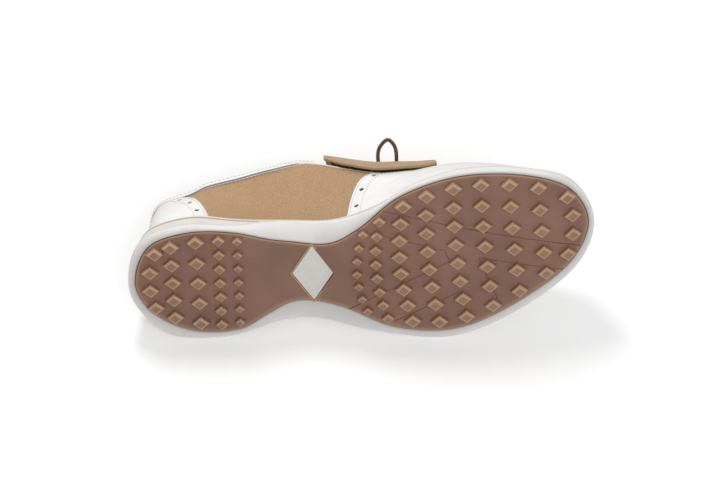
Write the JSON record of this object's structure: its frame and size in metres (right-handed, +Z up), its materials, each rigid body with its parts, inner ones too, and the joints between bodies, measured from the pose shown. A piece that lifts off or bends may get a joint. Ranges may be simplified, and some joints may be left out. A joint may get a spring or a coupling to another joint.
{
  "type": "golf shoe",
  "caption": "Left low-cut lace-up golf shoe: studded rubber outsole in a cupsole, wingtip leather upper, fringed kiltie flap and bow lace.",
  "frame": {"origin": "middle of the shoe's footprint box, on the ground plane under the studs", "axes": "+X from the heel towards the toe, +Y towards the outer (lateral) side, +Z up"},
  "size_m": [0.29, 0.1148, 0.1195],
  "materials": {
    "gum_rubber": "satin gum rubber, slightly translucent",
    "white_rubber": "satin moulded rubber",
    "emblem_rubber": "matt moulded rubber",
    "tan_stripe": "matt",
    "foam": "cellular foam",
    "steel": "brushed",
    "board": "fibreboard",
    "lining_fabric": "knitted lining",
    "white_leather": "smooth coated leather",
    "tan_leather": "embossed grain leather",
    "stiffener": "thermoplastic sheet",
    "suede": "napped suede",
    "lace_cord": "waxed round cord",
    "brass": "antique"
  },
  "bodies": {
    "rearfoot": {"outsole_rear": "gum_rubber", "cupsole_rear": "white_rubber", "waist_emblem": "emblem_rubber", "heel_pinstripe": "tan_stripe", "heel_wedge": "foam", "shank": "steel", "insole_board_rear": "board", "sockliner_rear": "lining_fabric", "vamp_rear": "white_leather", "vamp_lining_rear": "lining_fabric", "heel_cap": "white_leather", "heel_counter": "stiffener", "quarter_medial": "tan_leather", "quarter_lateral": "tan_leather", "quarter_lining_medial": "lining_fabric", "quarter_lining_lateral": "lining_fabric", "facing_medial": "tan_leather", "facing_lateral": "tan_leather", "collar_foam": "foam", "collar_binding": "white_leather", "kiltie_panel": "suede", "eyelet_medial_1": "brass", "eyelet_medial_2": "brass", "eyelet_medial_3": "brass", "eyelet_lateral_1": "brass", "eyelet_lateral_2": "brass", "eyelet_lateral_3": "brass", "lace_bar_1": "lace_cord", "lace_bar_2": "lace_cord", "lace_bar_3": "lace_cord", "lace_knot": "lace_cord"},
    "forefoot": {"outsole_front": "gum_rubber", "cupsole_front": "white_rubber", "forefoot_cushion": "foam", "insole_board_front": "board", "sockliner_front": "lining_fabric", "vamp_front": "white_leather", "vamp_lining_front": "lining_fabric", "toe_puff": "stiffener"},
    "tongue": {"tongue": "suede"},
    "kiltie_fringe": {"kiltie_fringe": "suede"},
    "lace_loop_medial": {"lace_loop_medial": "lace_cord"},
    "lace_loop_lateral": {"lace_loop_lateral": "lace_cord"},
    "lace_tail_rear": {"lace_tail_rear": "lace_cord", "aglet_rear": "brass"},
    "lace_tail_lateral": {"lace_tail_lateral": "lace_cord", "aglet_lateral": "brass"}
  },
  "joints": [
    {"name": "forefoot_flex", "type": "hinge", "parent": "rearfoot", "child": "forefoot", "pos_m": [0.05224, 0, 0.008], "axis": [0, -1, 0], "range_deg": [0, 25], "stiffness_Nm_per_rad": 2},
    {"name": "tongue_sag", "type": "hinge", "parent": "rearfoot", "child": "tongue", "pos_m": [0.03104, -0.0101, 0.068], "axis": [0, -1, 0], "range_deg": [0, 8], "stiffness_Nm_per_rad": 0.05},
    {"name": "kiltie_lift", "type": "hinge", "parent": "rearfoot", "child": "kiltie_fringe", "pos_m": [0.02704, -0.0107, 0.0827], "axis": [0, -1, 0], "range_deg": [0, 45], "stiffness_Nm_per_rad": 0.02},
    {"name": "loop_medial_lift", "type": "hinge", "parent": "rearfoot", "child": "lace_loop_medial", "pos_m": [0.01759, -0.01057, 0.09194], "axis": [-1, 0, 0], "range_deg": [-6, 40], "stiffness_Nm_per_rad": 0.002},
    {"name": "loop_lateral_lift", "type": "hinge", "parent": "rearfoot", "child": "lace_loop_lateral", "pos_m": [0.01759, -0.01057, 0.09194], "axis": [1, 0, 0], "range_deg": [-4, 40], "stiffness_Nm_per_rad": 0.002},
    {"name": "tail_rear_lift", "type": "hinge", "parent": "rearfoot", "child": "lace_tail_rear", "pos_m": [0.01759, -0.01057, 0.09194], "axis": [0, 1, 0], "range_deg": [0, 40], "stiffness_Nm_per_rad": 0.002},
    {"name": "tail_lateral_lift", "type": "hinge", "parent": "rearfoot", "child": "lace_tail_lateral", "pos_m": [0.01759, -0.01057, 0.09194], "axis": [1, 0, 0], "range_deg": [0, 35], "stiffness_Nm_per_rad": 0.002}
  ]
}
